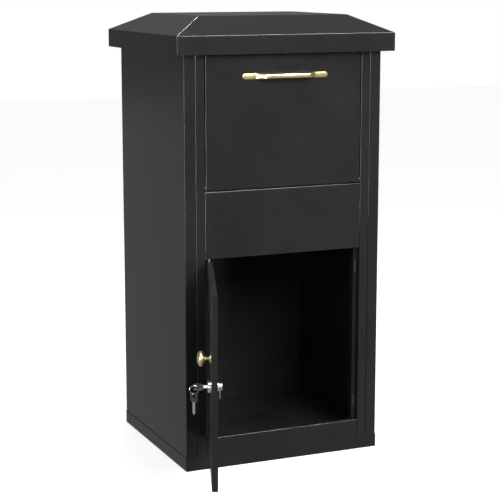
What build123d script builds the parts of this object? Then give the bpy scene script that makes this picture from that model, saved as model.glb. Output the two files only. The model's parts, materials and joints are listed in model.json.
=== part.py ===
from build123d import *
import os
from math import cos, radians, sin, sqrt

# Parcel drop mailbox in folded steel: a cabinet with a hipped roof, a pull-down hopper at the top
# and a keyed retrieval door at the bottom. Millimetres, X to the right, Y to the back, Z up.
# The origin is the middle of the footprint, on the ground. The door is stored open.

# --- sheet metal -------------------------------------------------------------------------------
sheet = 1.2                 # thickness of every folded panel
bend = 1.8                  # outside radius of a fold
seam = 0.3                  # gap between fixed panels that stand side by side

# --- cabinet -----------------------------------------------------------------------------------
body_width = 445.0
body_depth = 390.0
wall_height = 868.0         # ground to the underside of the roof
base_height = 28.0          # wall of the base pan
floor_height = 30.0         # top of the false floor
sill_height = 66.5          # top of the panel under the door
opening_top = 449.0         # underside of the fixed middle panel
middle_top = 589.0          # top of the fixed middle panel

wall_return = 24.5          # width of a side wall's return on the front
return_lip = 12.0           # depth of the folded lips inside the front
rear_return = 17.0          # width of a side wall's return on the back
post_width = 20.3           # face of a front post
jamb_depth = 30.0           # how far a post reaches back
stop_play = 0.3             # between a closed door and its bumpers
stop_width = 8.0            # how far the door stop stands into the opening

# --- roof --------------------------------------------------------------------------------------
roof_overhang = 22.0
fascia_height = 38.0
roof_rise = 37.0
roof_inset = 76.0           # roof edge to the flat top, on every side
roof_clearance = 0.5        # between the walls and the roof's soffit lip
frame_leg = 20.0            # height of the roof frame's standing leg
frame_setback = 4.0         # behind the hopper panel's flange
screw_strip = 17.6          # width of the roof frame outside the walls

# --- hopper ------------------------------------------------------------------------------------
leaf_gap = 2.0              # around the hopper panel and the door
leaf_depth = 12.0           # depth of their folded edges
hopper_top_gap = 1.0
hopper_pivot_in = 5.5       # hinge line behind the front face
hopper_pivot_up = 7.0       # hinge line above the hopper panel's lower edge
hopper_travel = 45.0
relief_depth = 7.0          # the lower corners are cut back this far behind the face to pass the stop
relief_height = 4.5
tray_slope = 30.0
tray_length = 230.0
tray_tab = 34.0             # tab that joins the tray to the hopper panel
tray_seat = 15.0            # bottom of that tab above the hopper panel's lower edge
tray_lip = 12.0
cheek_inset = 2.9           # between a cheek and the door stop's edge
cheek_top_gap = 21.0        # top of the hopper panel to the top of a cheek
cheek_bulge = 235.0         # hinge line to the curved edge of a cheek
cheek_tab = 15.0
slot_radius = 180.0
slot_start = 72.0           # angle of the stop pin above the hinge line
stop_pin_radius = 3.0
slot_clearance = 0.5
stop_pin_head_radius = 5.0
stop_pin_head = 2.0
bracket_half = 14.0         # half the width of a stop pin's bracket
bracket_drop = 34.0         # stop pin to the bracket's arm
bracket_rise = 10.0         # stop pin to the top of the bracket's ear
bracket_gap = 5.0           # cheek to the bracket's ear
cheek_tab_gap = 5.0         # tray's tab to a cheek's tab

# --- hinges ------------------------------------------------------------------------------------
pin_radius = 2.0
bush_radius = 3.0
bush_flange_radius = 3.6
bush_flange = 0.8
bush_tail = 1.6
running_fit = 0.06          # radial clearance of a pin in its bush
seat_fit = 0.02             # radial clearance of a fixed pin, screw or bush
pin_head_radius = 3.6
pin_head = 1.5
pin_end = 0.6               # how far a hinge pin stands out of its bush

# --- door --------------------------------------------------------------------------------------
door_gap_top = 3.0
door_gap_bottom = 2.0
door_pivot_in = 5.5
door_pivot_side = 8.5       # hinge line from the door's edge
door_open_angle = 110.4
bumper_length = 24.0
bumper_thickness = 0.7
bumper_inset = 40.0         # end of the door to the middle of a bumper
stiffener_width = 60.0
stiffener_depth = 8.0
stiffener_foot = 10.0
stiffener_inset = 20.0      # end of the door to the end of its stiffener

# --- knob and handle ---------------------------------------------------------------------------
knob_height = 321.0
knob_radius = 14.8
knob_length = 26.0
knob_base_radius = 7.5
knob_base = 1.4             # height of its base disc
knob_neck_radius = 3.1
knob_neck = 6.5             # door to the thinnest place of the neck
knob_crown = 18.2           # door to the widest place of the head
knob_thread = 11.0          # how far the screw goes into it
handle_drop = 46.0          # top of the walls to the middle of the handle
handle_length = 192.0
pad_length = 37.0
pad_height = 12.5
pad_thickness = 4.0
bar_height = 8.5
bar_thickness = 5.5
bar_stand_off = 22.0        # panel to the middle of the bar
bar_round = 2.2
pad_round = 1.4
bow_half = 63.0             # middle of the handle to the foot of a leg
bow_foot = 4.0              # how far a leg runs on into its pad
bow_rise = 13.0             # length over which a leg rises
bow_ease = 11.7             # how slowly a leg turns at both ends
screw_radius = 2.0
screw_head_radius = 3.8
screw_head = 2.2

# --- lock --------------------------------------------------------------------------------------
lock_height = 266.0
lock_backset = 26.0         # door's free edge to the lock and knob
lock_face_radius = 11.2
lock_face = 6.5
barrel_radius = 8.5
face_round = 2.0
cam_play = 1.0              # between the door stop and the end of the lock
plug_radius = 5.6
plug_recess = 0.6           # plug's face behind the lock's
plug_tail_radius = 3.36
keyway_play = 0.2
cam_thickness = 2.0
cam_gap = 0.3
cam_short = 2.0             # door's free edge to the tip of the locked cam
cam_width = 11.0
cam_tip_width = 7.0
cam_slot_play = 1.2         # around the cam where it passes the door stop
cam_slot_below = 15.0       # reach of that slot below the lock, for the cam's swing
cam_nut_radius = 7.4
cam_nut = 4.0
lock_nut_flat = 22.0
lock_nut_thickness = 4.0

# --- keys --------------------------------------------------------------------------------------
blade_length = 24.6
blade_width = 6.6
blade_thickness = 1.8
blade_in_lock = 16.6
bite_count = 4
bite_size = 3.4
bite_step = 0.4             # every second bite is smaller by this
bite_pitch = 3.6
bite_start = 4.0            # tip of the blade to the first bite
bite_out = 1.2              # middle of a bite outside the blade's edge
bow_length = 19.0
bow_width = 18.0
bow_thickness = 2.2
bow_hole_length = 8.2
bow_hole_width = 7.6
bow_web = 2.2               # end of the bow to its hole
bow_corner = 4.5
bow_hole_corner = 2.0
bow_round = 0.5
key_roll = 25.0             # tilt of the key's flat from level
ring_radius = 8.1           # middle of the wire
ring_wire = 0.95            # diameter of the wire
ring_pitch = 0.91           # between the middles of its two turns
ring_slack = 0.4            # between the ring and what hangs on it
spare_twist = 45.0

# --- fasteners ---------------------------------------------------------------------------------
rivet_radius = 1.6
rivet_head_radius = 3.2
rivet_head = 1.0
rivet_tail_radius = 2.6
rivet_clear = 1.5           # fold to a rivet's head
post_rivet_count = 5
post_rivet_inset = 68.0     # top of the walls to the first rivet of a post
panel_rivet_inset = 35.0    # edge of the middle panel to its rivets
back_screw_count = 5
back_screw_low = 110.0
back_screw_inset = 48.0     # top of the walls to the highest back screw
roof_screw_inset_x = 72.5   # corner of the cabinet to the nearest roof screw
roof_screw_inset_y = 75.0
thread = 3.0                # screw's end behind the sheets that it holds
anchor_radius = 5.0
anchor_inset_x = 52.5       # side of the cabinet to the middle of a floor anchor hole
anchor_inset_y = 50.0
wall_hole_radius = 4.0
wall_hole_inset_x = 72.5
wall_hole_drop = 148.0      # top of the walls to the upper wall holes
wall_hole_span_z = 250.0
through = 1.0               # how far a cutter stands out on each side of what it cuts

# --- places worked out from the sizes ----------------------------------------------------------
half_width = body_width / 2
front = -body_depth / 2
back = body_depth / 2
wall_top = wall_height + sheet
stop_setback = leaf_depth + bumper_thickness + stop_play
barrel_length = stop_setback + sheet + cam_play
jamb_x = half_width - wall_return - post_width
stop_x = jamb_x - stop_width
leaf_half = jamb_x - leaf_gap
hopper_bottom = middle_top + leaf_gap
hopper_top = wall_height - hopper_top_gap
hopper_pivot = Vector(0, front + hopper_pivot_in, hopper_bottom + hopper_pivot_up)
cheek_x = stop_x - cheek_inset
handle_height = wall_height - handle_drop
door_bottom = sill_height + door_gap_bottom
door_top = opening_top - door_gap_top
door_pivot = Vector(-leaf_half + door_pivot_side, front + door_pivot_in, 0)
lock_x = leaf_half - lock_backset
cam_reach = lock_backset - cam_short
anchor_x, anchor_y = half_width - anchor_inset_x, back - anchor_inset_y
wall_hole_x = half_width - wall_hole_inset_x


def spaced(first, last, count):
    """Evenly spaced places from first to last."""
    return [first + (last - first) * place / (count - 1) for place in range(count)]


def folded(points, side=Side.LEFT):
    """Section of a folded strip, in a plane; the points run along its outer side."""
    outer = FilletPolyline(*points, radius=bend)
    return make_face(offset(outer, amount=sheet, side=side))


def upright(section, bottom, top):
    """A section drawn in plan, standing from bottom to top."""
    return extrude(Pos(0, 0, bottom) * section, amount=top - bottom)


def across(section, left, right):
    """A section drawn as (Y, Z), running from left to right."""
    plane = Plane(origin=(left, 0, 0), x_dir=(0, 1, 0), z_dir=(1, 0, 0))
    return extrude(plane * section, amount=right - left)


def block(low, high):
    """A box from its lowest to its highest corner."""
    low, high = Vector(*low), Vector(*high)
    size = high - low
    return Pos(*((low + high) / 2)) * Box(*size)


def rod(start, direction, radius, length):
    """A plain round rod from start along direction."""
    return extrude(Plane(origin=start, z_dir=direction) * Circle(radius), amount=length)


def front_pan(x0, x1, z0, z1, depth):
    """A panel on the front face with a folded edge all round that reaches back."""
    shell = block((x0, front, z0), (x1, front + depth, z1))
    shell = fillet(shell.faces().sort_by(Axis.Y)[0].edges(), bend)
    hollow = block((x0 + sheet, front + sheet, z0 + sheet),
                   (x1 - sheet, front + depth + through, z1 - sheet))
    hollow = fillet(hollow.faces().sort_by(Axis.Y)[0].edges(), bend - sheet)
    return shell - hollow


def screw(seat, direction, length):
    """A pan head screw; the underside of its head is at seat and its shank runs along direction."""
    axis = Vector(*direction)
    head = rod(Vector(*seat) - axis * screw_head, axis, screw_head_radius, screw_head)
    rim = head.edges().filter_by(GeomType.CIRCLE).sort_by(Axis(Vector(*seat), axis))[0]
    return fillet(rim, screw_head * 0.6) + rod(seat, axis, screw_radius, length)


def rivet(start, direction, grip):
    """A blind rivet through a grip of sheets, headed on both sides."""
    axis = Vector(*direction)
    start = Vector(*start)
    shank = rod(start, axis, rivet_radius, grip)
    near = rod(start - axis * rivet_head, axis, rivet_head_radius, rivet_head)
    far = rod(start + axis * grip, axis, rivet_tail_radius, rivet_head)
    return shank + near + far


def hinge_bush(seat, direction):
    """A flanged bush through one sheet; its flange lies on the side that direction points to."""
    axis = Vector(*direction)
    seat = Vector(*seat)
    sleeve = rod(seat - axis * sheet, axis, bush_radius, sheet + bush_flange)
    flange = rod(seat, axis, bush_flange_radius, bush_flange)
    return sleeve + flange - rod(seat - axis * 2 * sheet, axis, pin_radius + running_fit, 4 * sheet)


def hinge_pin(seat, direction, length):
    """A headed pin; the underside of its head is at seat."""
    axis = Vector(*direction)
    seat = Vector(*seat)
    return rod(seat, axis, pin_radius, length) + rod(seat - axis * pin_head, axis, pin_head_radius, pin_head)


# --- base pan and floor ------------------------------------------------------------------------
pan_x, pan_y = half_width + sheet, back + sheet
base_pan = block((-pan_x, -pan_y, 0), (pan_x, pan_y, base_height))
base_pan = fillet(base_pan.edges().filter_by(Axis.Z), bend)
base_pan = fillet(base_pan.faces().sort_by(Axis.Z)[0].edges(), bend - sheet)
base_pan -= block((-half_width, front, sheet), (half_width, back, base_height + through))

floor_x = half_width - sheet - seam
floor_front = front + stop_setback + seam
floor_back = back - 2 * sheet - seam
floor_panel = block((-floor_x, floor_front, sheet), (floor_x, floor_back, floor_height))
floor_panel = fillet(floor_panel.faces().sort_by(Axis.Z)[-1].edges(), bend)
floor_panel -= block((-floor_x + sheet, floor_front + sheet, 0),
                     (floor_x - sheet, floor_back - sheet, floor_height - sheet))
for sign in (-1, 1):
    post_room = block((stop_x - seam, front, 0), (half_width, front + jamb_depth + seam, wall_height))
    floor_panel -= post_room if sign > 0 else mirror(post_room, about=Plane.YZ)
for x in (-anchor_x, anchor_x):
    for y in (-anchor_y, anchor_y):
        anchor_hole = rod((x, y, -through), (0, 0, 1), anchor_radius, floor_height + 2 * through)
        base_pan -= anchor_hole
        floor_panel -= anchor_hole

# --- walls, posts and back ---------------------------------------------------------------------
wall_section = folded([
    (-half_width + wall_return, front + return_lip),
    (-half_width + wall_return, front),
    (-half_width, front),
    (-half_width, back - sheet),
    (-half_width + rear_return, back - sheet)], side=Side.RIGHT)
post_outside = -half_width + wall_return + seam
hinge_post_section = folded([
    (post_outside, front + return_lip),
    (post_outside, front),
    (-jamb_x, front),
    (-jamb_x, front + jamb_depth)])
stop_post_section = folded([
    (post_outside, front + return_lip),
    (post_outside, front),
    (-jamb_x, front),
    (-jamb_x, front + stop_setback),
    (-stop_x, front + stop_setback),
    (-stop_x, front + jamb_depth)])
left_wall = upright(wall_section, sheet, wall_top)
right_wall = mirror(left_wall, about=Plane.YZ)
left_post = upright(hinge_post_section, sheet, wall_top)
right_post = mirror(upright(stop_post_section, sheet, wall_top), about=Plane.YZ)
cam_y = barrel_length + cam_gap
right_post -= block(
    (stop_x - through, front + cam_y - cam_slot_play, lock_height - cam_slot_below),
    (stop_x + sheet + through, front + cam_y + cam_thickness + cam_slot_play,
     lock_height + cam_width / 2 + cam_slot_play))
back_panel = block((-half_width, back - sheet, sheet), (half_width, back, wall_top))
for x in (-wall_hole_x, wall_hole_x):
    for z in (wall_height - wall_hole_drop - wall_hole_span_z, wall_height - wall_hole_drop):
        back_panel -= rod((x, back - sheet - through, z), (0, 1, 0), wall_hole_radius, sheet + 2 * through)

# --- fixed front panels ------------------------------------------------------------------------
panel_half = jamb_x - seam
sill_panel = front_pan(-panel_half, panel_half, sheet, sill_height, return_lip)
middle_panel = front_pan(-panel_half, panel_half, opening_top, middle_top, return_lip)

# --- roof --------------------------------------------------------------------------------------
roof_x, roof_y = half_width + roof_overhang, back + roof_overhang
fascia_top = wall_height + fascia_height
roof_top = fascia_top + roof_rise


def hip(base_x, base_y, base_z, top_inset, top_z):
    """A truncated pyramid between two levels."""
    low = Pos(0, 0, base_z) * Rectangle(2 * base_x, 2 * base_y)
    high = Pos(0, 0, top_z) * Rectangle(2 * (roof_x - top_inset), 2 * (roof_y - top_inset))
    return loft([low, high])


roof_slope = roof_rise / roof_inset
drop = sheet * sqrt(1 + roof_slope ** 2)
inner_knee = fascia_top - drop + sheet * roof_slope
inner_inset = (roof_rise + drop - sheet) / roof_slope
roof_shell = block((-roof_x, -roof_y, wall_height), (roof_x, roof_y, fascia_top))
roof_shell += hip(roof_x, roof_y, fascia_top, roof_inset, roof_top)
outer_edges = roof_shell.edges().filter_by(lambda edge: edge.center().Z > wall_height + sheet)
roof_shell = fillet(outer_edges, bend)
roof_hollow = block((-roof_x + sheet, -roof_y + sheet, wall_height + sheet),
                    (roof_x - sheet, roof_y - sheet, inner_knee))
roof_hollow += hip(roof_x - sheet, roof_y - sheet, inner_knee, inner_inset, roof_top - sheet)
lip_x, lip_y = half_width + roof_clearance, back + roof_clearance
roof_shell -= roof_hollow
roof_shell -= block((-lip_x, -lip_y, wall_height - through), (lip_x, lip_y, wall_height + 2 * sheet))

frame_x, frame_y = half_width + screw_strip, back + screw_strip
leg_front = front + return_lip + frame_setback
leg_x = half_width - sheet - seam
leg_back = back - 2 * sheet - seam
roof_frame = block((-frame_x, -frame_y, wall_top), (frame_x, frame_y, wall_top + sheet))
roof_frame += block((-leg_x, leg_front, wall_top - frame_leg), (leg_x, leg_back, wall_top))
roof_frame -= block((-leg_x + sheet, leg_front + sheet, wall_height - 2 * frame_leg),
                    (leg_x - sheet, leg_back - sheet, wall_top + 2 * sheet))
corner_notch = block((stop_x - seam, front, wall_height - 2 * frame_leg),
                     (half_width, front + jamb_depth + seam, wall_top))
roof_frame -= corner_notch
roof_frame -= mirror(corner_notch, about=Plane.YZ)

screw_out = (roof_clearance + screw_strip) / 2
roof_screw_x, roof_screw_y = half_width - roof_screw_inset_x, back - roof_screw_inset_y
roof_screw_places = [(x, side * (back + screw_out)) for side in (-1, 1)
                     for x in (-roof_screw_x, 0, roof_screw_x)]
roof_screw_places += [(side * (half_width + screw_out), y) for side in (-1, 1)
                      for y in (-roof_screw_y, roof_screw_y)]
roof_screws = []
for x, y in roof_screw_places:
    roof_screws.append(screw((x, y, wall_height), (0, 0, 1), 2 * sheet + thread))
    screw_hole = rod((x, y, wall_height - through), (0, 0, 1), screw_radius + seat_fit,
                     2 * sheet + 2 * through)
    roof_shell -= screw_hole
    roof_frame -= screw_hole

# --- fasteners of the cabinet ------------------------------------------------------------------
rivet_y = front + bend + rivet_head_radius + rivet_clear
panel_rivet_zs = [sill_height / 2, opening_top + panel_rivet_inset, middle_top - panel_rivet_inset]
post_rivet_zs = spaced(sill_height + bend + rivet_head_radius, wall_height - post_rivet_inset,
                       post_rivet_count)
grip = 2 * sheet + seam
post_rivets = []
panel_rivets = []
for sign in (-1, 1):
    inward = (-sign, 0, 0)
    for z in post_rivet_zs:
        start = (sign * (half_width - wall_return + sheet), rivet_y, z)
        post_rivets.append(rivet(start, inward, grip))
        rivet_hole = rod(start, inward, rivet_radius + seat_fit, grip)
        left_wall -= rivet_hole
        right_wall -= rivet_hole
        left_post -= rivet_hole
        right_post -= rivet_hole
    for z in panel_rivet_zs:
        start = (sign * (jamb_x + sheet), rivet_y, z)
        panel_rivets.append(rivet(start, inward, grip))
        rivet_hole = rod(start, inward, rivet_radius + seat_fit, grip)
        left_post -= rivet_hole
        right_post -= rivet_hole
        sill_panel -= rivet_hole
        middle_panel -= rivet_hole

back_screws = []
for x in (-half_width + rear_return / 2 + sheet, half_width - rear_return / 2 - sheet):
    for z in spaced(back_screw_low, wall_height - back_screw_inset, back_screw_count):
        back_screws.append(screw((x, back, z), (0, -1, 0), 2 * sheet + thread))
        screw_hole = rod((x, back + through, z), (0, -1, 0), screw_radius + seat_fit,
                         2 * sheet + 2 * through)
        back_panel -= screw_hole
        left_wall -= screw_hole
        right_wall -= screw_hole

# --- hopper ------------------------------------------------------------------------------------
hopper_panel = front_pan(-leaf_half, leaf_half, hopper_bottom, hopper_top, leaf_depth)
pivot_y, pivot_z = hopper_pivot.Y, hopper_pivot.Z
for sign in (-1, 1):
    inner, outer = sorted((sign * cheek_x, sign * jamb_x))
    hopper_panel -= block((inner, front + relief_depth, hopper_bottom - through),
                          (outer, front + jamb_depth, hopper_bottom + relief_height))
panel_back = front + sheet
slope = radians(tray_slope)
tray_foot = (panel_back, hopper_bottom + tray_seat)
tray_end = (tray_foot[0] + tray_length * cos(slope), tray_foot[1] - tray_length * sin(slope))
tray_section = folded([
    (tray_foot[0], tray_foot[1] + tray_tab),
    tray_foot,
    tray_end,
    (tray_end[0] - tray_lip * sin(slope), tray_end[1] - tray_lip * cos(slope))])
tray_half = cheek_x - sheet
hopper_tray = across(tray_section, -tray_half, tray_half)

cheek_top = hopper_top - cheek_top_gap
bulge = radians(tray_slope)
cheek_outline = make_face([
    Line((panel_back, tray_foot[1]), (panel_back, cheek_top)),
    ThreePointArc((panel_back, cheek_top),
                  (pivot_y + cheek_bulge * cos(bulge), pivot_z + cheek_bulge * sin(bulge)),
                  tray_end),
    Line(tray_end, (panel_back, tray_foot[1]))])
slot_sweep = SlotArc(CenterArc((pivot_y, pivot_z), slot_radius, slot_start - hopper_travel, hopper_travel),
                     2 * (stop_pin_radius + slot_clearance))
cheek_outline -= slot_sweep
left_cheek = across(cheek_outline, -cheek_x, -cheek_x + sheet)
left_cheek += block((-cheek_x, panel_back, tray_foot[1] + tray_tab + cheek_tab_gap),
                    (-cheek_x + cheek_tab, panel_back + sheet, cheek_top))
right_cheek = mirror(left_cheek, about=Plane.YZ)

hopper_pins = []
hopper_bushes = []
for sign in (-1, 1):
    outward = (sign, 0, 0)
    flange_inside = (sign * (leaf_half - sheet), pivot_y, pivot_z)
    hopper_pins.append(hinge_pin(flange_inside, outward, 2 * sheet + leaf_gap + bush_flange + pin_end))
    hopper_panel -= rod((0, pivot_y, pivot_z), outward, pin_radius + seat_fit, body_width)
    hopper_bushes.append(hinge_bush((sign * (jamb_x + sheet), pivot_y, pivot_z), outward))
    bush_hole = rod((sign * (jamb_x - through), pivot_y, pivot_z), outward, bush_radius + seat_fit,
                    sheet + 2 * through)
    left_post -= bush_hole
    right_post -= bush_hole

pin_angle = radians(slot_start)
stop_y = pivot_y + slot_radius * cos(pin_angle)
stop_z = pivot_z + slot_radius * sin(pin_angle)
ear_x = cheek_x + bracket_gap
wall_x = half_width - sheet
arm_z = stop_z - bracket_drop
stop_brackets = []
stop_pins = []
for sign in (-1, 1):
    foot = block((wall_x - sheet, stop_y - bracket_half, arm_z), (wall_x, stop_y + bracket_half, stop_z))
    arm = block((ear_x, stop_y - bracket_half, arm_z - sheet), (wall_x, stop_y + bracket_half, arm_z))
    ear = block((ear_x, stop_y - bracket_half, arm_z),
                (ear_x + sheet, stop_y + bracket_half, stop_z + bracket_rise))
    ear_hole = rod((ear_x - through, stop_y, stop_z), (1, 0, 0), pin_radius + seat_fit, sheet + 2 * through)
    bracket = foot + arm + ear - ear_hole
    pin = rod((ear_x, stop_y, stop_z), (1, 0, 0), pin_radius, sheet)
    pin += rod((ear_x + sheet, stop_y, stop_z), (1, 0, 0), stop_pin_head_radius, stop_pin_head)
    pin_tip = cheek_x - sheet - through
    pin += rod((ear_x, stop_y, stop_z), (-1, 0, 0), stop_pin_radius, ear_x - pin_tip)
    pin += rod((pin_tip, stop_y, stop_z), (-1, 0, 0), stop_pin_head_radius, stop_pin_head)
    stop_brackets.append(bracket if sign > 0 else mirror(bracket, about=Plane.YZ))
    stop_pins.append(pin if sign > 0 else mirror(pin, about=Plane.YZ))

# --- handle ------------------------------------------------------------------------------------
bar_y = front - bar_stand_off
foot_x, head_x = bow_half + bow_foot, bow_half - bow_rise
foot_y = front - bar_thickness / 2
left_leg = Bezier((-foot_x, foot_y), (-foot_x + bow_ease, foot_y),
                  (-head_x - bow_ease, bar_y), (-head_x, bar_y))
right_leg = Bezier((head_x, bar_y), (head_x + bow_ease, bar_y),
                   (foot_x - bow_ease, foot_y), (foot_x, foot_y))
route = Wire([left_leg.edge(), Line((-head_x, bar_y), (head_x, bar_y)).edge(), right_leg.edge()])
bar_profile = RectangleRounded(bar_thickness, bar_height, bar_round)
start_plane = Plane(origin=route @ 0, z_dir=route % 0, x_dir=(0, 1, 0))
handle = Pos(0, 0, handle_height) * sweep(start_plane * bar_profile, path=route)
pad_x = (handle_length - pad_length) / 2
pad_screw = sheet + pad_thickness * 0.7
handle_screws = []
for x in (-pad_x, pad_x):
    pad = Plane(origin=(x, front, handle_height), x_dir=(1, 0, 0), z_dir=(0, -1, 0))
    plate = extrude(pad * SlotOverall(pad_length, pad_height), amount=pad_thickness)
    handle += fillet(plate.faces().sort_by(Axis.Y)[0].edges(), pad_round)
    screw_seat = (x, front + sheet, handle_height)
    handle_screws.append(screw(screw_seat, (0, -1, 0), pad_screw))
    screw_hole = rod(screw_seat, (0, -1, 0), screw_radius + seat_fit, pad_screw + seat_fit)
    hopper_panel -= screw_hole
    handle -= screw_hole

# --- door --------------------------------------------------------------------------------------
door_panel = front_pan(-leaf_half, leaf_half, door_bottom, door_top, leaf_depth)
door_x, door_y = door_pivot.X, door_pivot.Y
door_bushes = []
door_pins = []
upper = (door_x, door_y, door_top - sheet)
lower = (door_x, door_y, door_bottom + sheet)
door_pins.append(hinge_pin(upper, (0, 0, 1), 2 * sheet + door_gap_top + bush_flange + pin_end))
door_pins.append(hinge_pin(lower, (0, 0, -1), 2 * sheet + door_gap_bottom + bush_flange + pin_end))
door_bushes.append(hinge_bush((door_x, door_y, opening_top + sheet), (0, 0, 1)))
door_bushes.append(hinge_bush((door_x, door_y, sill_height - sheet), (0, 0, -1)))
door_panel -= rod((door_x, door_y, 0), (0, 0, 1), pin_radius + seat_fit, wall_height)
middle_panel -= rod((door_x, door_y, opening_top - through), (0, 0, 1), bush_radius + seat_fit,
                    sheet + 2 * through)
sill_panel -= rod((door_x, door_y, sill_height + through), (0, 0, -1), bush_radius + seat_fit,
                  sheet + 2 * through)

stiffener_section = folded([
    (-stiffener_width / 2 - stiffener_foot, front + sheet),
    (-stiffener_width / 2, front + sheet),
    (-stiffener_width / 2, front + sheet + stiffener_depth),
    (stiffener_width / 2, front + sheet + stiffener_depth),
    (stiffener_width / 2, front + sheet),
    (stiffener_width / 2 + stiffener_foot, front + sheet)])
door_stiffener = upright(stiffener_section, door_bottom + stiffener_inset, door_top - stiffener_inset)

# --- knob --------------------------------------------------------------------------------------
shoulder = (knob_radius - 1.6, knob_crown - 3.6)
brow = (knob_radius - 2.4, knob_crown + 4.6)
knob_outline = make_face([
    Polyline((0, knob_length), (0, 0), (knob_base_radius, 0), (knob_base_radius, knob_base)),
    Spline((knob_base_radius, knob_base), (knob_neck_radius, knob_neck),
           (2 * knob_neck_radius, (knob_neck + knob_crown) / 2 - 1.6), shoulder,
           tangents=((-1, 0.25), (1, 0.6))),
    ThreePointArc(shoulder, (knob_radius, knob_crown), brow),
    Spline(brow, (0, knob_length), tangents=((-1, 0.7), (-1, 0)))])
knob_profile = Plane(origin=(lock_x, front, knob_height), x_dir=(1, 0, 0), z_dir=(0, 0, -1)) * knob_outline
door_knob = revolve(knob_profile, axis=Axis((lock_x, front, knob_height), (0, -1, 0)))
knob_seat = (lock_x, front + sheet, knob_height)
knob_screw = screw(knob_seat, (0, -1, 0), sheet + knob_thread)
knob_hole = rod(knob_seat, (0, -1, 0), screw_radius + seat_fit, sheet + knob_thread + through)
door_panel -= knob_hole
door_knob -= knob_hole

# --- lock --------------------------------------------------------------------------------------
lock_seat = Vector(lock_x, front, lock_height)
forward, rearward = Vector(0, -1, 0), Vector(0, 1, 0)
lock_body = rod(lock_seat, forward, lock_face_radius, lock_face)
lock_body = fillet(lock_body.faces().sort_by(Axis.Y)[0].edges(), face_round)
lock_body += rod(lock_seat, rearward, barrel_radius, barrel_length)
lock_body -= rod(lock_seat + forward * (lock_face + through), rearward, plug_radius + running_fit,
                 lock_face + barrel_length + 2 * through)
door_panel -= rod(lock_seat, rearward, barrel_radius + seat_fit, sheet)
nut_plane = Plane(origin=lock_seat + rearward * sheet, z_dir=rearward)
lock_nut = extrude(nut_plane * RegularPolygon(lock_nut_flat / sqrt(3), 6), amount=lock_nut_thickness)
lock_nut -= rod(lock_seat, rearward, barrel_radius + seat_fit, barrel_length)

plug_front = lock_face - plug_recess
lock_plug = rod(lock_seat + forward * plug_front, rearward, plug_radius, plug_front + cam_y)
lock_plug += rod(lock_seat + rearward * cam_y, rearward, plug_tail_radius, cam_thickness)
key_turn = Rot(0, key_roll, 0)
key_place = Pos(*lock_seat) * key_turn
keyway_half = blade_width / 2 + keyway_play
keyway_high = blade_thickness / 2 + keyway_play
keyway_end = blade_in_lock - plug_front + 3 * keyway_play
keyway = block((-keyway_half, -lock_face - through, -keyway_high), (keyway_half, keyway_end, keyway_high))
lock_plug -= key_place * keyway

cam_plate = Plane(origin=lock_seat + rearward * cam_y, x_dir=(1, 0, 0), z_dir=(0, -1, 0))
cam_shape = Circle(cam_width / 2) + make_hull([
    *Circle(cam_width / 2).edges(),
    *(Pos(0, -cam_reach + cam_tip_width / 2) * Circle(cam_tip_width / 2)).edges()])
lock_cam = extrude(cam_plate * cam_shape, amount=-cam_thickness)
lock_cam -= rod(lock_seat, rearward, plug_tail_radius + seat_fit, cam_y + cam_thickness + through)
cam_nut_seat = lock_seat + rearward * (cam_y + cam_thickness)
cam_screw = rod(cam_nut_seat, rearward, cam_nut_radius, cam_nut)
cam_screw = fillet(cam_screw.faces().sort_by(Axis.Y)[-1].edges(), cam_nut * 0.6)

# --- keys --------------------------------------------------------------------------------------
def key_shapes():
    """A key with its tip towards +Y, flat in XY; its bow starts at y = 0 and runs to -Y."""
    shank = blade_length - blade_width / 2
    blade = Pos(0, shank / 2, 0) * Rectangle(blade_width, shank)
    blade += Pos(0, shank, 0) * Rot(0, 0, 45) * Rectangle(blade_width / sqrt(2), blade_width / sqrt(2))
    for place in range(bite_count):
        side = bite_size - bite_step * (place % 2)
        bite = Pos(blade_width / 2 + bite_out, blade_length - bite_start - bite_pitch * place, 0)
        blade -= bite * Rot(0, 0, 45) * Rectangle(side, side)
    blade = extrude(blade, amount=blade_thickness / 2, both=True)
    bow = Pos(0, -bow_length / 2, 0) * RectangleRounded(bow_width, bow_length, bow_corner)
    hole = Pos(0, -bow_length + bow_web + bow_hole_length / 2, 0)
    hole *= RectangleRounded(bow_hole_width, bow_hole_length, bow_hole_corner)
    bow = extrude(bow - hole, amount=bow_thickness / 2, both=True)
    bow = fillet(bow.edges().filter_by(Plane.XY).group_by(Axis.Z)[-1], bow_round)
    return blade, bow


blade, bow = key_shapes()
key_out = blade_length - blade_in_lock
key_frame = key_place * Pos(0, -plug_front - key_out, 0)
key_blade = key_frame * blade
key_bow = key_frame * bow
web_middle = Vector(lock_x, front - plug_front - key_out - bow_length + bow_web / 2, lock_height)
roll = radians(key_roll)
ring_inside = ring_radius - ring_wire / 2
web_rise = bow_thickness / 2 / cos(roll) + ring_wire * sin(roll) / cos(roll)
ring_middle = web_middle + Vector(0, 0, web_rise + ring_slack - ring_inside)
ring_plane = Plane(origin=ring_middle, z_dir=(1, 0, 0))
key_ring = Part() + [ring_plane.offset(side * ring_pitch / 2) * Torus(ring_radius, ring_wire / 2)
                     for side in (-1, 1)]
twist = radians(spare_twist)
web_half = bow_thickness / 2 / cos(twist) + ring_wire
web_sag = ring_inside - sqrt(ring_inside ** 2 - web_half ** 2)
web_under = ring_middle.Z - ring_inside + web_sag + ring_slack
spare_frame = Pos(lock_x, ring_middle.Y, web_under - bow_length + bow_web)
spare_frame *= Rot(0, 0, 90 - spare_twist) * Rot(-90, 0, 0)
spare_blade = spare_frame * blade
spare_bow = spare_frame * bow

# --- door bumpers ------------------------------------------------------------------------------
door_bumpers = []
for z in (door_bottom + bumper_inset, door_top - bumper_inset):
    door_bumpers.append(block(
        (stop_x + bend, front + stop_setback - bumper_thickness, z - bumper_length / 2),
        (jamb_x - bend, front + stop_setback, z + bumper_length / 2)))

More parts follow.
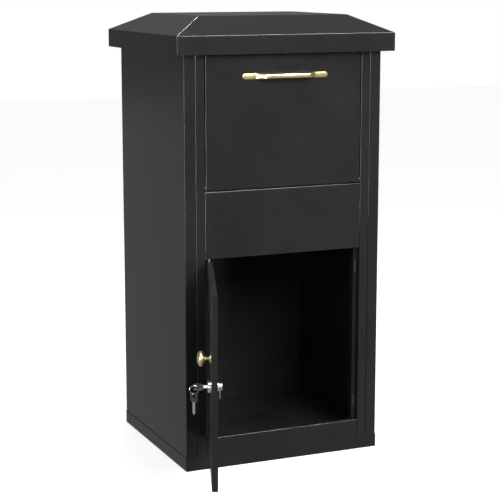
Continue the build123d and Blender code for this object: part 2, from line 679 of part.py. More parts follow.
# --- the door as it is stored: open ------------------------------------------------------------
swing = Pos(door_x, door_y, 0) * Rot(0, 0, -door_open_angle) * Pos(-door_x, -door_y, 0)

nodes = {
    "base_pan": [base_pan],
    "floor_panel": [floor_panel],
    "left_side_wall": [left_wall],
    "right_side_wall": [right_wall],
    "back_panel": [back_panel],
    "left_front_post": [left_post],
    "right_front_post": [right_post],
    "sill_panel": [sill_panel],
    "middle_panel": [middle_panel],
    "roof_shell": [roof_shell],
    "roof_frame": [roof_frame],
    "roof_screws": roof_screws,
    "post_rivets": post_rivets,
    "panel_rivets": panel_rivets,
    "back_screws": back_screws,
    "door_hinge_bushes": door_bushes,
    "hopper_hinge_bushes": hopper_bushes,
    "hopper_stop_brackets": stop_brackets,
    "hopper_stop_pins": stop_pins,
    "door_bumpers": door_bumpers,
    "hopper_panel": [hopper_panel],
    "hopper_tray": [hopper_tray],
    "hopper_left_cheek": [left_cheek],
    "hopper_right_cheek": [right_cheek],
    "hopper_hinge_pins": hopper_pins,
    "hopper_handle": [handle],
    "handle_screws": handle_screws,
}
door_nodes = {
    "door_panel": [door_panel],
    "door_stiffener": [door_stiffener],
    "door_hinge_pins": door_pins,
    "door_knob": [door_knob],
    "knob_screw": [knob_screw],
    "lock_body": [lock_body],
    "lock_nut": [lock_nut],
    "lock_plug": [lock_plug],
    "lock_cam": [lock_cam],
    "cam_screw": [cam_screw],
    "key_blade": [key_blade],
    "key_bow": [key_bow],
    "key_ring": [key_ring],
    "spare_key_blade": [spare_blade],
    "spare_key_bow": [spare_bow],
}
for name, pieces in door_nodes.items():
    nodes[name] = [swing * piece for piece in pieces]

os.makedirs("parts", exist_ok=True)
for name, pieces in nodes.items():
    solids = [solid for piece in pieces for solid in piece.solids()]
    shape = solids[0] if len(solids) == 1 else Compound(children=solids)
    export_step(shape, f"parts/{name}.step")
print(len(nodes), "nodes written")
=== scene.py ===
# %% [markdown]
# # A parcel drop mailbox in black powder coat
# The cabinet, its pull-down hopper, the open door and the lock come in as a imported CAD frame, in metres.
# Blender gives them their finishes and swaps two small fittings, the pull and the key ring, for finer
# meshes. The frame is loaded first, because the new pieces take their places and outer sizes from it.

# %% Load the frame
import bmesh
import bpy
import json
import math
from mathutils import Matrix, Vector


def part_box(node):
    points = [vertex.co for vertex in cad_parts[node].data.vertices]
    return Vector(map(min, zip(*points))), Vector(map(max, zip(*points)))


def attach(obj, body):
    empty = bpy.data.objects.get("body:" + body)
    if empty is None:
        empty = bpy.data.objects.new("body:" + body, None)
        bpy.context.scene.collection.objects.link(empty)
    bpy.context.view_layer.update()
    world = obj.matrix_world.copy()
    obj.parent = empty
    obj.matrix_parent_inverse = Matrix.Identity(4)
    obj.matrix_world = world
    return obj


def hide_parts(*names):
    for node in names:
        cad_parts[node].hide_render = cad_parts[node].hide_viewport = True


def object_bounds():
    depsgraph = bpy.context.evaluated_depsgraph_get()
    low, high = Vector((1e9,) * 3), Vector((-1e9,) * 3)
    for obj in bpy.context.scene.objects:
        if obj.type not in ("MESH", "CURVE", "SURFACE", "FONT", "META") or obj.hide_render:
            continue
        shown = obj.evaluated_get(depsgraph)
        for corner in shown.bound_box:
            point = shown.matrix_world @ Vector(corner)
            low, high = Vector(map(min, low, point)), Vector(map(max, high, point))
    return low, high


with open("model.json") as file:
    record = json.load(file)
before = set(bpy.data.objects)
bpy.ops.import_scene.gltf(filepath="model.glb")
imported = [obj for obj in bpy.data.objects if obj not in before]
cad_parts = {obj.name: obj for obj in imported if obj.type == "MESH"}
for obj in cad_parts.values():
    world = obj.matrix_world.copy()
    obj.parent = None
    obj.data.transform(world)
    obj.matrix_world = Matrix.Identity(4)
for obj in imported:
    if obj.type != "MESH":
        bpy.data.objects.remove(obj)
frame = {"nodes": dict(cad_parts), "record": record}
nodes = frame["nodes"]
cad_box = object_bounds()
print("CAD box", [tuple(round(v, 3) for v in corner) for corner in cad_box])

# %% [markdown]
# ## Camera
# A long lens, out to the left of the front and a little higher than the roof, shows the front, one side
# and the top. The camera could be aimed by hand, but a yaw and a pitch say plainly where it looks.
# A Blender camera looks down its own -Z, so it is first stood upright by a quarter turn about X.

# %% Place the camera
camera_place = Vector((-1.2853, -2.989, 1.025))
camera_yaw = math.radians(23.367)
camera_pitch = math.radians(10.469)
camera_lens = 107.24
camera_far = 60.0

camera_data = bpy.data.cameras.new("camera")
camera_data.lens = camera_lens
camera_data.clip_end = camera_far
camera = bpy.data.objects.new("camera", camera_data)
camera.location = camera_place
camera.rotation_euler = (math.radians(90) - camera_pitch, 0.0, -camera_yaw)
bpy.context.scene.collection.objects.link(camera)
bpy.context.scene.camera = camera
print("camera", camera_lens, "mm")

# %% [markdown]
# ## The room around the box
# A glossy black box shows little but what it reflects, so the surround matters more than the lamps.
# One white world would wash every steep angle out. Here the surround is bright overhead and dim at
# the horizon, as in a room hung with dark cloth, and the camera alone sees plain white behind the box.
# How high a ray points is the Z of its direction, from -1 straight down to 1 straight up.
# A Mix node has a set of sockets for each kind of value, so they are picked by number.

# %% Build the room
horizon_light = 0.16
zenith_light = 0.34
dim_below = 0.1
bright_above = 0.85
backdrop_white = 1.0
mix_factor, mix_first, mix_second, mix_result = 0, 2, 3, 0
mix_first_colour, mix_second_colour, mix_result_colour = 6, 7, 2

world = bpy.data.worlds.new("studio")
world.use_nodes = True
sky = world.node_tree
sky_place = sky.nodes.new("ShaderNodeTexCoord")
sky_split = sky.nodes.new("ShaderNodeSeparateXYZ")
sky_climb = sky.nodes.new("ShaderNodeMapRange")
sky_climb.inputs["From Min"].default_value = dim_below
sky_climb.inputs["From Max"].default_value = bright_above
sky_climb.inputs["To Min"].default_value = horizon_light
sky_climb.inputs["To Max"].default_value = zenith_light
sky_seen = sky.nodes.new("ShaderNodeLightPath")
sky_choice = sky.nodes.new("ShaderNodeMix")
sky_choice.inputs[mix_second].default_value = backdrop_white
sky.links.new(sky_place.outputs["Generated"], sky_split.inputs[0])
sky.links.new(sky_split.outputs["Z"], sky_climb.inputs["Value"])
sky.links.new(sky_seen.outputs["Is Camera Ray"], sky_choice.inputs[mix_factor])
sky.links.new(sky_climb.outputs[0], sky_choice.inputs[mix_first])
sky.links.new(sky_choice.outputs[mix_result], sky.nodes["Background"].inputs["Color"])
bpy.context.scene.world = world
bpy.context.scene.view_settings.view_transform = "Standard"
print("room light from", horizon_light, "to", zenith_light)

# %% [markdown]
# ## Lamps
# Softboxes light the paint. Those at the sides and the back are kept out of its gloss, where they would
# show as pale rectangles. Narrow strips are kept out of everything but the gloss, so that they only draw
# thin bright lines on the folds of the sheet metal, and so is the softbox beside the camera, which gives
# the brass and the chrome something pale to mirror. All of them are aimed at the middle of the box.

# %% Hang the lamps
def area_light(name, place, width, height, power, lights=True, mirrored=True):
    """A lamp aimed at the cabinet; it may light surfaces, show in their gloss, or both."""
    data = bpy.data.lights.new(name, "AREA")
    data.shape = "RECTANGLE"
    data.size = width
    data.size_y = height
    data.energy = power
    lamp = bpy.data.objects.new(name, data)
    lamp.location = place
    lamp.rotation_mode = "QUATERNION"
    lamp.rotation_quaternion = ((cad_box[0] + cad_box[1]) / 2 - Vector(place)).to_track_quat("-Z", "Y")
    lamp.visible_diffuse = lights
    lamp.visible_glossy = mirrored
    bpy.context.scene.collection.objects.link(lamp)


area_light("front_softbox", (0.3, -2.4, 1.7), width=1.4, height=1.0, power=56)
area_light("left_softbox", (-2.3, -1.4, 1.3), width=0.3, height=2.0, power=14, mirrored=False)
area_light("right_softbox", (1.9, -1.7, 1.2), width=0.25, height=2.0, power=24, mirrored=False)
area_light("back_softbox", (0.9, 2.2, 1.6), width=1.6, height=1.6, power=26, mirrored=False)
area_light("top_edge_strip", (0.3, -0.9, 2.6), width=2.4, height=0.2, power=190, lights=False)
area_light("left_edge_strip", (-2.4, -1.1, 0.35), width=0.2, height=1.6, power=90, lights=False)
area_light("hip_edge_strip", (0.5, 2.0, 2.9), width=0.25, height=0.25, power=20, lights=False)
area_light("lens_softbox", (-1.7, -3.2, 0.9), width=1.4, height=1.4, power=9, lights=False)
print(len(bpy.data.lights), "lamps")

# %% [markdown]
# ## Floor
# The floor is a plain pale sheet. A plain diffuse floor would throw its own white back at the box, and the
# side, seen at a steep angle, would mirror it. So the camera sees the pale floor with the box's soft shadow,
# while every other ray meets a steady grey one.

# %% Lay the floor
floor_half = 9.0
floor_paleness = 0.6
floor_roughness = 0.9
floor_glow = 0.78
floor_bounce = 0.32

floor_mesh = bpy.data.meshes.new("studio_floor")
floor_mesh.from_pydata([(-floor_half, -floor_half, 0), (floor_half, -floor_half, 0),
                        (floor_half, floor_half, 0), (-floor_half, floor_half, 0)], [], [(0, 1, 2, 3)])
studio_floor = bpy.data.objects.new("studio_floor", floor_mesh)
bpy.context.scene.collection.objects.link(studio_floor)

floor_material = bpy.data.materials.new("studio_white")
floor_material.use_nodes = True
floor_tree = floor_material.node_tree
floor_shader = floor_tree.nodes["Principled BSDF"]
floor_shader.inputs["Base Color"].default_value = (floor_paleness,) * 3 + (1.0,)
floor_shader.inputs["Roughness"].default_value = floor_roughness
floor_shader.inputs["Specular IOR Level"].default_value = 0.0
floor_shader.inputs["Emission Color"].default_value = (1.0, 1.0, 1.0, 1.0)
floor_shader.inputs["Emission Strength"].default_value = floor_glow
floor_grey = floor_tree.nodes.new("ShaderNodeEmission")
floor_grey.inputs["Strength"].default_value = floor_bounce
floor_seen = floor_tree.nodes.new("ShaderNodeLightPath")
floor_choice = floor_tree.nodes.new("ShaderNodeMixShader")
floor_tree.links.new(floor_seen.outputs["Is Camera Ray"], floor_choice.inputs[0])
floor_tree.links.new(floor_grey.outputs[0], floor_choice.inputs[1])
floor_tree.links.new(floor_shader.outputs[0], floor_choice.inputs[2])
floor_tree.links.new(floor_choice.outputs[0], floor_tree.nodes["Material Output"].inputs["Surface"])
studio_floor.data.materials.append(floor_material)
print("floor", 2 * floor_half, "m wide")

# %% [markdown]
# ## Small helpers for node trees
# Every finish below is a node tree, so a few short helpers keep the trees readable.
# `add` makes a node and sets its plain values in one line, `wire` joins two sockets, `new_group` starts
# a group that several finishes share, and `place_group` puts one into a finish with values of its own.

# %% Node helpers
def add(tree, kind, settings=None, **values):
    """A new node; settings are its properties, values its input sockets."""
    node = tree.nodes.new(kind)
    for name, value in (settings or {}).items():
        setattr(node, name, value)
    for name, value in values.items():
        node.inputs[name.replace("_", " ")].default_value = value
    return node


def wire(tree, source, socket):
    """Joins an output socket to an input socket."""
    tree.links.new(source, socket)


def new_group(name, inputs, outputs):
    """An empty shader group with named sockets: inputs as (name, value), outputs as (name, kind)."""
    tree = bpy.data.node_groups.new(name, "ShaderNodeTree")
    for label, value in inputs:
        kind = "NodeSocketColor" if isinstance(value, tuple) else "NodeSocketFloat"
        tree.interface.new_socket(label, in_out="INPUT", socket_type=kind).default_value = value
    for label, kind in outputs:
        tree.interface.new_socket(label, in_out="OUTPUT", socket_type=kind)
    return tree, tree.nodes.new("NodeGroupInput"), tree.nodes.new("NodeGroupOutput")


def place_group(tree, group, **values):
    """Puts a group into a material with this finish's own values."""
    node = tree.nodes.new("ShaderNodeGroup")
    node.node_tree = group
    for name, value in values.items():
        node.inputs[name.replace("_", " ")].default_value = value
    return node


print("node helpers ready")

# %% [markdown]
# ## Powder coat grain
# Powder coat is plastic dust melted onto steel. It dries with an orange peel a millimetre or two across,
# and with finer pimples on top. The peel could be displaced geometry, but it is a few hundredths of a
# millimetre deep, so a bump height is right. The peel also shifts the tone a little, under a slow cloud of
# noise, so that a large panel isn't one flat black.

# %% Group: powder grain
pimple_share = 0.3


def make_powder_grain():
    tree, given, result = new_group(
        "powder_grain",
        [("Peel Scale", 520.0), ("Pimple Scale", 2400.0), ("Cloud Scale", 7.0)],
        [("Height", "NodeSocketFloat"), ("Tone", "NodeSocketFloat"), ("Gloss", "NodeSocketFloat")])
    place = add(tree, "ShaderNodeTexCoord")
    peel = add(tree, "ShaderNodeTexNoise", Detail=1.5, Roughness=0.4)
    pimple = add(tree, "ShaderNodeTexNoise", Detail=1.0, Roughness=0.5)
    cloud = add(tree, "ShaderNodeTexNoise", Detail=3.0, Roughness=0.55)
    for texture, label in ((peel, "Peel Scale"), (pimple, "Pimple Scale"), (cloud, "Cloud Scale")):
        wire(tree, place.outputs["Object"], texture.inputs["Vector"])
        wire(tree, given.outputs[label], texture.inputs["Scale"])
    height = add(tree, "ShaderNodeMix", {"data_type": "FLOAT"})
    height.inputs[mix_factor].default_value = pimple_share
    wire(tree, peel.outputs[0], height.inputs[mix_first])
    wire(tree, pimple.outputs[0], height.inputs[mix_second])
    tone = add(tree, "ShaderNodeMath", {"operation": "MULTIPLY"})
    wire(tree, peel.outputs[0], tone.inputs[0])
    wire(tree, cloud.outputs[0], tone.inputs[1])
    wire(tree, height.outputs[mix_result], result.inputs["Height"])
    wire(tree, tone.outputs[0], result.inputs["Tone"])
    wire(tree, cloud.outputs[0], result.inputs["Gloss"])
    return tree


powder_grain = make_powder_grain()
print("group", powder_grain.name)

# %% [markdown]
# ## Rubbed edges and a painted edge highlight
# Paint is thinnest on a fold, and hands, parcels and keys polish it there. The same mask also paints a pale
# highlight along the folds, in place of light caught on the rounded bends. Painting a mask by hand would
# have to be done again for every part. Comparing the surface's own normal with a rounded one finds the
# edges by itself: the two differ only within the rounding's reach of an edge. The mask is their dot
# product turned round, from flat to a full edge. Noise breaks the line up.

# %% Group: rubbed edges and painted edge highlight
flat_match = 0.995
edge_match = 0.86


# One mask for both: rubbed paint on the folds and a painted highlight along them.
def make_edge_rub_and_highlight():
    tree, given, result = new_group(
        "edge_rub_and_highlight", [("Reach", 0.0012), ("Break Scale", 60.0)], [("Mask", "NodeSocketFloat")])
    rounded = add(tree, "ShaderNodeBevel", {"samples": 4})
    wire(tree, given.outputs["Reach"], rounded.inputs["Radius"])
    surface = add(tree, "ShaderNodeNewGeometry")
    match = add(tree, "ShaderNodeVectorMath", {"operation": "DOT_PRODUCT"})
    wire(tree, rounded.outputs["Normal"], match.inputs[0])
    wire(tree, surface.outputs["Normal"], match.inputs[1])
    spread = add(tree, "ShaderNodeMapRange", From_Min=flat_match, From_Max=edge_match)
    wire(tree, match.outputs["Value"], spread.inputs["Value"])
    place = add(tree, "ShaderNodeTexCoord")
    patch = add(tree, "ShaderNodeTexNoise", Detail=4.0, Roughness=0.65)
    wire(tree, place.outputs["Object"], patch.inputs["Vector"])
    wire(tree, given.outputs["Break Scale"], patch.inputs["Scale"])
    breakup = add(tree, "ShaderNodeMapRange", From_Min=0.38, From_Max=0.68)
    wire(tree, patch.outputs[0], breakup.inputs["Value"])
    mask = add(tree, "ShaderNodeMath", {"operation": "MULTIPLY"})
    wire(tree, spread.outputs[0], mask.inputs[0])
    wire(tree, breakup.outputs[0], mask.inputs[1])
    wire(tree, mask.outputs[0], result.inputs["Mask"])
    return tree


edge_rub_and_highlight = make_edge_rub_and_highlight()
print("group", edge_rub_and_highlight.name)

# %% [markdown]
# ## Settled dust
# Dust lies on what faces up, in faint uneven patches. The shading normal's Z says what faces up, and
# a noise with much fine detail makes the patches. Each finish lets only a trace of the mask through,
# because the box is clean and new.

# %% Group: settled dust
def make_settled_dust():
    tree, given, result = new_group("settled_dust", [("Patch Scale", 14.0)], [("Mask", "NodeSocketFloat")])
    surface = add(tree, "ShaderNodeNewGeometry")
    split = add(tree, "ShaderNodeSeparateXYZ")
    wire(tree, surface.outputs["Normal"], split.inputs[0])
    upward = add(tree, "ShaderNodeMapRange", From_Min=0.55, From_Max=1.0)
    wire(tree, split.outputs["Z"], upward.inputs["Value"])
    place = add(tree, "ShaderNodeTexCoord")
    patch = add(tree, "ShaderNodeTexNoise", Detail=6.0, Roughness=0.7)
    wire(tree, place.outputs["Object"], patch.inputs["Vector"])
    wire(tree, given.outputs["Patch Scale"], patch.inputs["Scale"])
    spread = add(tree, "ShaderNodeMapRange", From_Min=0.4, From_Max=0.8)
    wire(tree, patch.outputs[0], spread.inputs["Value"])
    mask = add(tree, "ShaderNodeMath", {"operation": "MULTIPLY"})
    wire(tree, upward.outputs[0], mask.inputs[0])
    wire(tree, spread.outputs[0], mask.inputs[1])
    wire(tree, mask.outputs[0], result.inputs["Mask"])
    return tree


settled_dust = make_settled_dust()
print("group", settled_dust.name)

# %% [markdown]
# ## Brushed grain
# Brass pulls, lock faces and keys are polished in one direction, which leaves long fine scratches. A noise
# stretched many times along one axis is that grain. The axis with the lowest of the three scales is the
# one that the scratches run along. Smudges of a second noise are mixed into the gloss.

# %% Group: brushed grain
smudge_share = 0.5


def make_brushed_grain():
    tree, given, result = new_group(
        "brushed_grain",
        [("Along X", 20.0), ("Along Y", 900.0), ("Along Z", 900.0), ("Smudge Scale", 45.0)],
        [("Height", "NodeSocketFloat"), ("Gloss", "NodeSocketFloat")])
    place = add(tree, "ShaderNodeTexCoord")
    stretch = add(tree, "ShaderNodeCombineXYZ")
    for socket, label in zip(stretch.inputs, ("Along X", "Along Y", "Along Z")):
        wire(tree, given.outputs[label], socket)
    scaled = add(tree, "ShaderNodeVectorMath", {"operation": "MULTIPLY"})
    wire(tree, place.outputs["Object"], scaled.inputs[0])
    wire(tree, stretch.outputs[0], scaled.inputs[1])
    lines = add(tree, "ShaderNodeTexNoise", Scale=1.0, Detail=3.0, Roughness=0.6)
    wire(tree, scaled.outputs[0], lines.inputs["Vector"])
    smudge = add(tree, "ShaderNodeTexNoise", Detail=3.0, Roughness=0.6)
    wire(tree, place.outputs["Object"], smudge.inputs["Vector"])
    wire(tree, given.outputs["Smudge Scale"], smudge.inputs["Scale"])
    gloss = add(tree, "ShaderNodeMix", {"data_type": "FLOAT"})
    gloss.inputs[mix_factor].default_value = smudge_share
    wire(tree, lines.outputs[0], gloss.inputs[mix_first])
    wire(tree, smudge.outputs[0], gloss.inputs[mix_second])
    wire(tree, lines.outputs[0], result.inputs["Height"])
    wire(tree, gloss.outputs[mix_result], result.inputs["Gloss"])
    return tree


brushed_grain = make_brushed_grain()
print("group", brushed_grain.name)

# %% [markdown]
# ## Small helpers for finishes
# Each finish is a Principled shader whose colour, roughness and normal are fed by the groups above. The
# steps that every finish repeats are a new material, a blend of two colours, a change of range and a bump.

# %% Finish helpers
def new_material(name):
    """A material with its Principled shader, ready for wiring."""
    material = bpy.data.materials.new(name)
    material.use_nodes = True
    return material, material.node_tree, material.node_tree.nodes["Principled BSDF"]


def blend_colour(tree, mask, low, high):
    """A colour that goes from low to high with a mask; either may be a colour or a socket."""
    mix = add(tree, "ShaderNodeMix", {"data_type": "RGBA"})
    wire(tree, mask, mix.inputs[mix_factor])
    for value, socket in ((low, mix.inputs[mix_first_colour]), (high, mix.inputs[mix_second_colour])):
        if isinstance(value, tuple):
            socket.default_value = value
        else:
            wire(tree, value, socket)
    return mix.outputs[mix_result_colour]


def opaque(colour):
    """A colour with a full alpha."""
    return colour + (1.0,)


def remap(tree, value, low, high, from_low=0.0, from_high=1.0):
    """A value moved to another range."""
    node = add(tree, "ShaderNodeMapRange", From_Min=from_low, From_Max=from_high, To_Min=low, To_Max=high)
    wire(tree, value, node.inputs["Value"])
    return node.outputs[0]


def bump(tree, shader, height, strength, distance):
    """Feeds a height into the shader's normal."""
    node = add(tree, "ShaderNodeBump", Strength=strength, Distance=distance)
    wire(tree, height, node.inputs["Height"])
    wire(tree, node.outputs["Normal"], shader.inputs["Normal"])


print("finish helpers ready")

# %% [markdown]
# ## Black powder coat
# The coat is a black resin with a clear, slightly soft gloss: a dark base, a low roughness and a weak
# mirror. The grain group drives its bump, tone and roughness, and rubbed edges let a greyer black through,
# which is partly worn paint and partly a painted highlight along the folds. Dust is a trace of pale grey
# on top. The inside of the cabinet gets less polish and more dust, so the same function is called with
# other values. Noise keeps well inside 0 to 1, so each span names the part of it that is used.

# %% Materials: powder coat
coat_mirror = 0.3
tone_span = (0.12, 0.42)
gloss_span = (0.3, 0.7)
dark_tint = (0.85, 0.85, 0.87)
light_tint = (1.25, 1.25, 1.28)
# A greyer black for the edges, partly worn paint and partly a painted highlight on the folds.
edge_rub_and_highlight_black = (0.075, 0.075, 0.078)
dust_colour = (0.30, 0.29, 0.27)
peel_strength = 0.22
peel_height = 0.00025


def powder_coat(name, black, smooth, rough, edge_rub_and_highlight_share, dust):
    """Black powder coat; black is its linear grey, smooth and rough are its roughness range."""
    material, tree, shader = new_material(name)
    shader.inputs["Specular IOR Level"].default_value = coat_mirror
    grain = place_group(tree, powder_grain)
    edges = place_group(tree, edge_rub_and_highlight)
    settled = place_group(tree, settled_dust)
    dark = tuple(black * value for value in dark_tint)
    light = tuple(black * value for value in light_tint)
    tone = remap(tree, grain.outputs["Tone"], 0.0, 1.0, *tone_span)
    coat = blend_colour(tree, tone, opaque(dark), opaque(light))
    # The edges blend towards that greyer black: worn paint and a painted highlight.
    rub_and_highlight_coat = blend_colour(tree, remap(tree, edges.outputs["Mask"], 0.0, edge_rub_and_highlight_share), coat, opaque(edge_rub_and_highlight_black))
    dusty = blend_colour(tree, remap(tree, settled.outputs["Mask"], 0.0, dust), rub_and_highlight_coat, opaque(dust_colour))
    wire(tree, dusty, shader.inputs["Base Color"])
    wire(tree, remap(tree, grain.outputs["Gloss"], smooth, rough, *gloss_span), shader.inputs["Roughness"])
    bump(tree, shader, grain.outputs["Height"], peel_strength, peel_height)
    return material


cabinet_paint = powder_coat("cabinet_paint", black=0.017, smooth=0.15, rough=0.22, edge_rub_and_highlight_share=0.3, dust=0.03)
inner_paint = powder_coat("inner_paint", black=0.017, smooth=0.24, rough=0.34, edge_rub_and_highlight_share=0.2, dust=0.05)
black_oxide = powder_coat("black_oxide", black=0.022, smooth=0.3, rough=0.42, edge_rub_and_highlight_share=0.6, dust=0.0)
print("three black finishes")

# %% [markdown]
# ## Brass, chrome and zinc
# The pull and the knob are satin brass with a pale, champagne colour; the lock and keys are nickel chrome;
# hidden hardware is zinc plated. All three are full metals, so their colour is the colour of their
# reflection. The brushed group gives them a grain and uneven gloss, and their edges are paler: partly
# polish, partly a painted highlight.

# %% Materials: metals
dulled = 0.88
brushed_tone_span = (0.3, 0.7)
brushed_gloss_span = (0.25, 0.75)
scratch_height = 0.0002


def metal(name, colour, smooth, rough, edge, grain_values, grain_strength=0.08):
    """A plated or solid metal; colour and edge are linear colours."""
    material, tree, shader = new_material(name)
    shader.inputs["Metallic"].default_value = 1.0
    grain = place_group(tree, brushed_grain, **grain_values)
    edges = place_group(tree, edge_rub_and_highlight, Reach=0.0006, Break_Scale=200.0)
    tint = tuple(value * dulled for value in colour)
    tone = remap(tree, grain.outputs["Gloss"], 0.0, 1.0, *brushed_tone_span)
    body = blend_colour(tree, tone, opaque(tint), opaque(colour))
    # The edges blend towards the paler edge colour: polish and a painted highlight.
    polish_and_highlight = blend_colour(tree, edges.outputs["Mask"], body, opaque(edge))
    wire(tree, polish_and_highlight, shader.inputs["Base Color"])
    gloss = remap(tree, grain.outputs["Gloss"], smooth, rough, *brushed_gloss_span)
    wire(tree, gloss, shader.inputs["Roughness"])
    bump(tree, shader, grain.outputs["Height"], grain_strength, scratch_height)
    return material


brass = metal("brass", (0.86, 0.72, 0.39), 0.22, 0.36, (0.95, 0.85, 0.58), {"Along_X": 25.0})
lock_chrome = metal("lock_chrome", (0.80, 0.80, 0.81), 0.08, 0.20, (0.93, 0.93, 0.93), {"Along_Z": 60.0})
zinc = metal("zinc_steel", (0.55, 0.57, 0.60), 0.25, 0.42, (0.75, 0.76, 0.78), {"Along_Z": 90.0}, 0.15)
print("three metals")

# %% [markdown]
# ## Rubber, nylon and key plastic
# The small moulded parts have no grain of their own, only the fine texture of their mould. The powder
# grain group, scaled finer, does for that; what differs is the colour, the roughness and how deep it is.
# Its edges are a little paler, partly where use has rubbed them and partly as a painted highlight.

# %% Materials: moulded parts
shaded = 0.8
rub_and_highlight_gain, rub_and_highlight_lift = 1.6, 0.01
mould_height = 0.0001


def moulded(name, colour, smooth, rough, depth):
    """A moulded part with a fine surface texture."""
    material, tree, shader = new_material(name)
    grain = place_group(tree, powder_grain, Peel_Scale=1800.0, Pimple_Scale=6000.0, Cloud_Scale=60.0)
    edges = place_group(tree, edge_rub_and_highlight, Reach=0.0004, Break_Scale=300.0)
    shade = tuple(value * shaded for value in colour)
    tone = remap(tree, grain.outputs["Tone"], 0.0, 1.0, *tone_span)
    body = blend_colour(tree, tone, opaque(shade), opaque(colour))
    # A paler colour for the edges, partly rubbed by use and partly a painted highlight.
    rub_and_highlight_colour = tuple(min(1.0, value * rub_and_highlight_gain + rub_and_highlight_lift) for value in colour)
    wire(tree, blend_colour(tree, edges.outputs["Mask"], body, opaque(rub_and_highlight_colour)), shader.inputs["Base Color"])
    wire(tree, remap(tree, grain.outputs["Gloss"], smooth, rough, *gloss_span), shader.inputs["Roughness"])
    bump(tree, shader, grain.outputs["Height"], depth, mould_height)
    return material


rubber = moulded("rubber", (0.018, 0.018, 0.018), 0.65, 0.85, 0.5)
nylon = moulded("nylon", (0.62, 0.60, 0.54), 0.35, 0.5, 0.2)
key_plastic = moulded("key_plastic", (0.035, 0.036, 0.040), 0.32, 0.48, 0.3)
print("three moulded finishes")

# %% [markdown]
# ## Finishes on the frame's own parts
# The record names a slot for every part, and each slot has one finish here, so the parts are dressed in a
# loop. A CAD part's mesh stays as it is: only the material in its slot is exchanged.

# %% Dress the parts
finishes = {
    "cabinet_paint": cabinet_paint,
    "inner_paint": inner_paint,
    "black_screws": black_oxide,
    "brass": brass,
    "lock_chrome": lock_chrome,
    "zinc_steel": zinc,
    "rubber": rubber,
    "nylon": nylon,
    "key_plastic": key_plastic,
}
for entry in frame["record"]["subparts"]:
    part = nodes[entry["node"]]
    part.data.materials.clear()
    part.data.materials.append(finishes[entry["material_slot"]])
print(len(nodes), "parts dressed")

# %% [markdown]
# ## Sections joined into a skin
# A pull handle and a split ring are both a section carried along a path. A curve with a bevel keeps one
# section all the way, but the handle's section changes from a broad, thin pad to a narrow, thicker bar. So
# the rings of points are worked out first, and a short function joins each ring to the next.

# %% Skin helper
def skin(name, rings):
    """A closed mesh over a list of rings of points, each joined to the next."""
    mesh = bmesh.new()
    rows = [[mesh.verts.new(point) for point in ring] for ring in rings]
    count = len(rows[0])
    for row, following in zip(rows, rows[1:]):
        for here in range(count):
            after = (here + 1) % count
            mesh.faces.new((row[here], row[after], following[after], following[here]))
    mesh.faces.new(tuple(reversed(rows[0])))
    mesh.faces.new(tuple(rows[-1]))
    bmesh.ops.recalc_face_normals(mesh, faces=mesh.faces)
    data = bpy.data.meshes.new(name)
    mesh.to_mesh(data)
    mesh.free()
    for face in data.polygons:
        face.use_smooth = True
    piece = bpy.data.objects.new(name, data)
    bpy.context.scene.collection.objects.link(piece)
    return piece


def oval(middle, along, up, half_along, half_up, sharpness=3.2, count=24):
    """A ring of points on an oval; the higher its sharpness, the nearer it is to a rectangle."""
    points = []
    for step in range(count):
        angle = 2 * math.pi * step / count
        cosine, sine = math.cos(angle), math.sin(angle)
        across = math.copysign(abs(cosine) ** (2 / sharpness), cosine) * half_along
        rise = math.copysign(abs(sine) ** (2 / sharpness), sine) * half_up
        points.append(middle + along * across + up * rise)
    return points


print("skin and oval ready")

# %% [markdown]
# ## Pull handle
# The pull is one cast and polished piece: a flat pad at each end is screwed to the hopper panel, and a leg
# swells out of each pad in an S and narrows into the bar. The CAD handle has the right size and place. The
# finer one here lets height and thickness flow from pad to bar in one surface, as the casting does.
# A leg runs from its foot to its head, both measured from the middle of the pull.

# %% Cast the handle
handle_low, handle_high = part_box("hopper_handle")
handle_face = handle_high.y
handle_middle = (handle_low + handle_high) / 2
pad_half_height = (handle_high.z - handle_low.z) / 2
handle_half = (handle_high.x - handle_low.x) / 2
pad_thickness, bar_thickness, bar_half_height = 0.004, 0.0055, 0.0043
bar_reach = handle_high.y - handle_low.y - bar_thickness / 2
leg_foot, leg_head = 0.068, 0.046
narrowing = 0.75
tip_half_height = 0.0004
slope_step = 0.0002


def ease(value):
    """Zero to one with no kink at either end."""
    value = min(1.0, max(0.0, value))
    return value * value * (3 - 2 * value)


def handle_shape(x):
    """Depth, thickness and half height of the handle at a place along it."""
    up_the_leg = (leg_foot - abs(x)) / (leg_foot - leg_head)
    rise = ease(up_the_leg)
    narrow = ease(up_the_leg * narrowing)
    depth = pad_thickness / 2 + (bar_reach - pad_thickness / 2) * rise
    thick = pad_thickness + (bar_thickness - pad_thickness) * rise
    half_height = pad_half_height + (bar_half_height - pad_half_height) * narrow
    from_end = handle_half - abs(x)
    if from_end < pad_half_height:
        half_height = math.sqrt(max(0.0, pad_half_height ** 2 - (pad_half_height - from_end) ** 2))
    return depth, thick, max(half_height, tip_half_height)


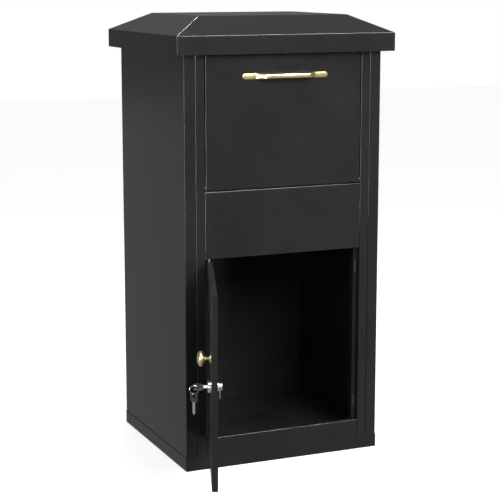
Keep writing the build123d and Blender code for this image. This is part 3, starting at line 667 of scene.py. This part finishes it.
handle_rings = []
handle_steps = 220
for step in range(handle_steps + 1):
    x = -handle_half * math.cos(math.pi * step / handle_steps)
    depth, thick, half_height = handle_shape(x)
    slope = (handle_shape(x + slope_step)[0] - handle_shape(x - slope_step)[0]) / (2 * slope_step)
    outward = Vector((-slope, -1.0, 0.0)).normalized()
    middle = Vector((handle_middle.x + x, handle_face - depth, handle_middle.z))
    handle_rings.append(oval(middle, outward, Vector((0, 0, 1)), thick / 2, half_height))
handle = skin("pull_handle", handle_rings)
handle.data.materials.append(brass)
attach(handle, "hopper")
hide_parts("hopper_handle")
print("handle", len(handle.data.polygons), "faces")

# %% [markdown]
# ## Split ring
# A key ring is flattened spring wire wound twice round, so that its ends lie side by side. Two closed rings
# would look the same from afar, but the step where an end stops is what makes it a split ring. The turns
# are worked out from the ring's box and from the axis that it swings about.

# %% Wind the ring
joints = {joint["name"]: joint for joint in frame["record"]["behaviour"]["joints"]}
ring_axis = Vector(joints["key_ring_swing"]["axis"]).normalized()
ring_low, ring_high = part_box("key_ring")
ring_middle = (ring_low + ring_high) / 2
wire_half_radial, wire_half_axial = 0.000475, 0.0003
ring_turns, ring_pitch = 2, 0.00062
ring_start = math.radians(40)
ring_steps_per_turn = 72
wire_sharpness, wire_points = 2.4, 10
ring_radius = (ring_high.z - ring_low.z) / 2 - wire_half_radial
ring_side = ring_axis.cross(Vector((0, 0, 1))).normalized()
wire_sections = []
ring_steps = ring_steps_per_turn * ring_turns
for step in range(ring_steps + 1):
    turn = ring_turns * step / ring_steps
    angle = 2 * math.pi * turn + ring_start
    outward = ring_side * math.cos(angle) + Vector((0, 0, 1)) * math.sin(angle)
    middle = ring_middle + outward * ring_radius + ring_axis * ring_pitch * (turn - ring_turns / 2)
    wire_sections.append(oval(middle, outward, ring_axis, wire_half_radial, wire_half_axial,
                           wire_sharpness, wire_points))
split_ring = skin("split_ring", wire_sections)
split_ring.data.materials.append(lock_chrome)
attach(split_ring, "ring")
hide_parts("key_ring")
print("split ring", ring_turns, "turns")
